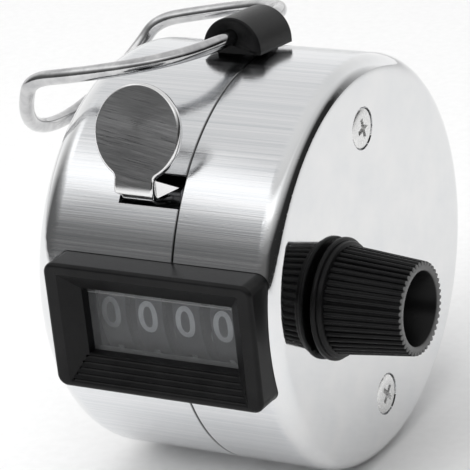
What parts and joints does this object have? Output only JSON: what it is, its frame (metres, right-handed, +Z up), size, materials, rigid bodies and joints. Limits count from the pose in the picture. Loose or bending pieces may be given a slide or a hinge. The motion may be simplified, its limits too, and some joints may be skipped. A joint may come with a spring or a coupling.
{
  "type": "hand tally counter",
  "caption": "Palm-sized mechanical tally counter: a drum case with a framed number window, a thumb lever, a side reset knob and a hinged wire finger ring.",
  "frame": {"origin": "centre of the flat left end face, on the drum's axis", "axes": "+X along the drum from the left end face to the reset knob, -Y out of the number window, +Z up to the ring block"},
  "size_m": [0.0487, 0.0462, 0.0483],
  "materials": {
    "chrome_shell": "bright plated, fine lines along the drum",
    "black_plastic": "satin moulded",
    "clear_lens": "clear moulded",
    "wheel_plastic": "matt, pale printed digits",
    "lever_steel": "brushed plate with a polished edge",
    "ring_wire": "bright plated wire",
    "screw_steel": "plated",
    "steel": "stamped",
    "spring_steel": "hard drawn",
    "brass": "turned"
  },
  "bodies": {
    "case": {"left_shell": "chrome_shell", "right_shell": "chrome_shell", "window_bezel": "black_plastic", "window_lens": "clear_lens", "upper_case_post": "steel", "lower_case_post": "steel", "case_screws": "screw_steel", "left_frame_plate": "steel", "right_frame_plate": "steel", "frame_spacers": "steel", "spindle_bushes": "brass", "lever_pin": "steel", "lever_pin_clip": "spring_steel", "lever_spring": "spring_steel", "detent_bar": "steel", "detent_spring": "spring_steel", "detent_rivets": "steel", "ring_block": "black_plastic"},
    "reset": {"reset_spindle": "steel", "spindle_clip": "spring_steel", "spindle_collars": "steel", "reset_knob": "black_plastic", "knob_washer": "spring_steel"},
    "lever": {"thumb_lever": "lever_steel", "pawl_yoke": "steel", "pawl_pin": "steel", "pawl_spring": "spring_steel"},
    "pawl": {"pawl_comb": "steel"},
    "ring": {"finger_ring": "ring_wire"},
    "thousands": {"thousands_wheel": "wheel_plastic", "thousands_ratchet": "steel"},
    "hundreds": {"hundreds_wheel": "wheel_plastic", "hundreds_ratchet": "steel"},
    "tens": {"tens_wheel": "wheel_plastic", "tens_ratchet": "steel"},
    "units": {"units_wheel": "wheel_plastic", "units_ratchet": "steel"}
  },
  "joints": [
    {"name": "reset_turn", "type": "hinge", "parent": "case", "child": "reset", "pos_m": [0, -0.00915, 0], "axis": [1, 0, 0], "continuous": true},
    {"name": "thousands_turn", "type": "hinge", "parent": "case", "child": "thousands", "pos_m": [0, -0.00915, 0], "axis": [1, 0, 0], "continuous": true},
    {"name": "hundreds_turn", "type": "hinge", "parent": "case", "child": "hundreds", "pos_m": [0, -0.00915, 0], "axis": [1, 0, 0], "continuous": true},
    {"name": "tens_turn", "type": "hinge", "parent": "case", "child": "tens", "pos_m": [0, -0.00915, 0], "axis": [1, 0, 0], "continuous": true},
    {"name": "units_turn", "type": "hinge", "parent": "case", "child": "units", "pos_m": [0, -0.00915, 0], "axis": [1, 0, 0], "continuous": true},
    {"name": "lever_press", "type": "hinge", "parent": "case", "child": "lever", "pos_m": [0, -0.01341, 0.01125], "axis": [-1, 0, 0], "range_deg": [0, 14], "stiffness_Nm_per_rad": 0.02, "springref_deg": -20.05},
    {"name": "pawl_lift", "type": "hinge", "parent": "lever", "child": "pawl", "pos_m": [0, 0.00345, -0.0065], "axis": [1, 0, 0], "range_deg": [0, 10], "stiffness_Nm_per_rad": 0.002, "springref_deg": -20.05},
    {"name": "ring_swing", "type": "hinge", "parent": "case", "child": "ring", "pos_m": [0.01516, 0.00273, 0.02399], "axis": [0, 0.9969, -0.0785], "range_deg": [-12, 200]}
  ]
}
